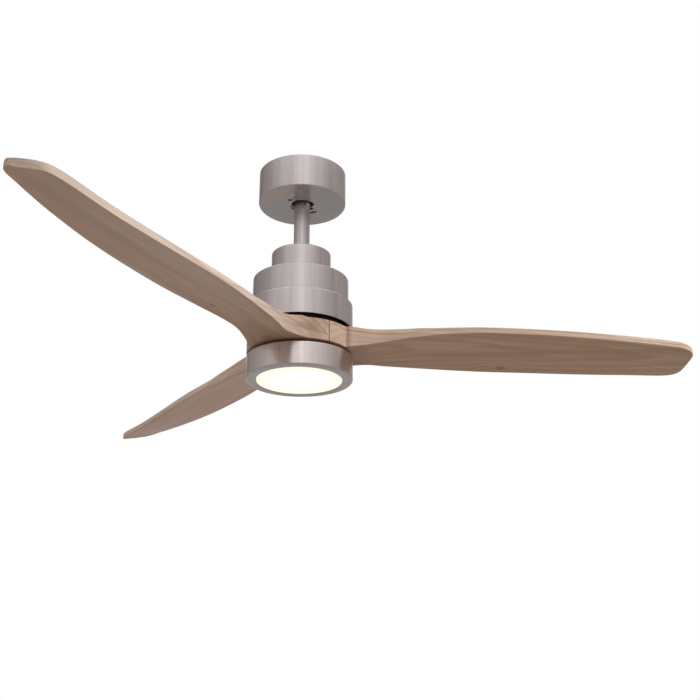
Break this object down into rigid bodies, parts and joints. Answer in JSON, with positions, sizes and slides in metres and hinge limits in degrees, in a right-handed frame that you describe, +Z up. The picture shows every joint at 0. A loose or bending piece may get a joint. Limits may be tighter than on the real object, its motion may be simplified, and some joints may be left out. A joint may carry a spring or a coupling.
{
  "type": "ceiling fan with light",
  "caption": "Downrod ceiling fan with carved wooden blades on a ball hanger, stepped brushed-metal housing and a round LED light beneath.",
  "frame": {"origin": "on the fan's axis at the ceiling: the centre of the hanger bracket's upper face", "axes": "+Z up, into the ceiling; +X along blade_1 at rest; the fan hangs below z = 0"},
  "size_m": [1.016, 1.1435, 0.3735],
  "materials": {
    "brushed_nickel": "satin brushed",
    "plated_steel": "zinc plated",
    "black_steel": "black powder coat",
    "bearing_steel": "ground",
    "lamination": "varnished laminations",
    "copper": "enamelled wire",
    "magnet": "sintered",
    "hanger_rubber": "matt moulded",
    "seat_plastic": "moulded",
    "white_nylon": "moulded",
    "driver_plastic": "moulded",
    "circuit_board": "solder mask",
    "led_board": "white lacquered",
    "blade_wood": "satin lacquered light hardwood",
    "opal_diffuser": "lit opal acrylic",
    "cable": "sleeved"
  },
  "bodies": {
    "ceiling_bracket": {"hanger_bracket": "plated_steel", "terminal_block": "white_nylon", "earth_screw": "plated_steel"},
    "canopy": {"canopy": "brushed_nickel", "canopy_screw_1": "plated_steel", "canopy_screw_2": "plated_steel"},
    "ball_seat": {"ball_seat_liner": "seat_plastic"},
    "hanging_unit": {"hanger_ball": "hanger_rubber", "ball_cross_pin": "plated_steel", "downrod": "brushed_nickel", "yoke": "black_steel", "clevis_pin": "plated_steel", "hairpin_clip": "plated_steel", "yoke_set_screw_1": "plated_steel", "yoke_set_screw_2": "plated_steel", "lead_bundle": "cable", "upper_housing": "brushed_nickel", "lower_housing": "brushed_nickel", "housing_mount_plate": "plated_steel", "control_board": "circuit_board", "stator_shaft": "plated_steel", "stator_core": "lamination", "stator_windings": "copper", "upper_bearing_inner_ring": "bearing_steel", "lower_bearing_inner_ring": "bearing_steel", "shaft_spacer": "plated_steel", "light_plate": "plated_steel", "shaft_nut": "plated_steel", "light_housing": "brushed_nickel", "light_screw_1": "plated_steel", "light_screw_2": "plated_steel", "light_screw_3": "plated_steel", "led_driver": "driver_plastic", "tray_post_1": "white_nylon", "tray_post_2": "white_nylon", "tray_post_3": "white_nylon", "led_tray": "led_board"},
    "coupling_cover": {"coupling_cover": "brushed_nickel"},
    "rotor": {"rotor_upper_bell": "black_steel", "rotor_lower_bell": "black_steel", "magnet_ring": "magnet", "upper_bearing_outer_ring": "bearing_steel", "lower_bearing_outer_ring": "bearing_steel", "blade_1": "blade_wood", "blade_2": "blade_wood", "blade_3": "blade_wood", "blade_clamp_ring": "black_steel", "blade_screw_1": "plated_steel", "blade_screw_2": "plated_steel", "blade_screw_3": "plated_steel", "blade_screw_4": "plated_steel", "blade_screw_5": "plated_steel", "blade_screw_6": "plated_steel"},
    "upper_balls": {"upper_bearing_balls": "bearing_steel"},
    "lower_balls": {"lower_bearing_balls": "bearing_steel"},
    "diffuser": {"diffuser": "opal_diffuser"}
  },
  "joints": [
    {"name": "canopy_drop", "type": "slide", "parent": "ceiling_bracket", "child": "canopy", "axis": [0, 0, -1], "range_m": [0, 0.05]},
    {"name": "sway_sideways", "type": "hinge", "parent": "ceiling_bracket", "child": "ball_seat", "pos_m": [0, 0, -0.033], "axis": [0, 1, 0], "range_deg": [-4, 4]},
    {"name": "sway_fore_aft", "type": "hinge", "parent": "ball_seat", "child": "hanging_unit", "pos_m": [0, 0, -0.033], "axis": [1, 0, 0], "range_deg": [-4, 4]},
    {"name": "coupling_cover_lift", "type": "slide", "parent": "hanging_unit", "child": "coupling_cover", "axis": [0, 0, 1], "range_m": [0, 0.03]},
    {"name": "blade_spin", "type": "hinge", "parent": "hanging_unit", "child": "rotor", "pos_m": [0, 0, -0.3], "axis": [0, 0, 1], "continuous": true},
    {"name": "upper_cage_spin", "type": "hinge", "parent": "hanging_unit", "child": "upper_balls", "pos_m": [0, 0, -0.2485], "axis": [0, 0, 1], "continuous": true},
    {"name": "lower_cage_spin", "type": "hinge", "parent": "hanging_unit", "child": "lower_balls", "pos_m": [0, 0, -0.2895], "axis": [0, 0, 1], "continuous": true},
    {"name": "diffuser_twist", "type": "hinge", "parent": "hanging_unit", "child": "diffuser", "pos_m": [0, 0, -0.37], "axis": [0, 0, 1], "range_deg": [0, 30]}
  ],
  "couplings": [
    {"joint": "upper_cage_spin", "follows": "blade_spin", "ratio": 0.593},
    {"joint": "lower_cage_spin", "follows": "blade_spin", "ratio": 0.593}
  ]
}
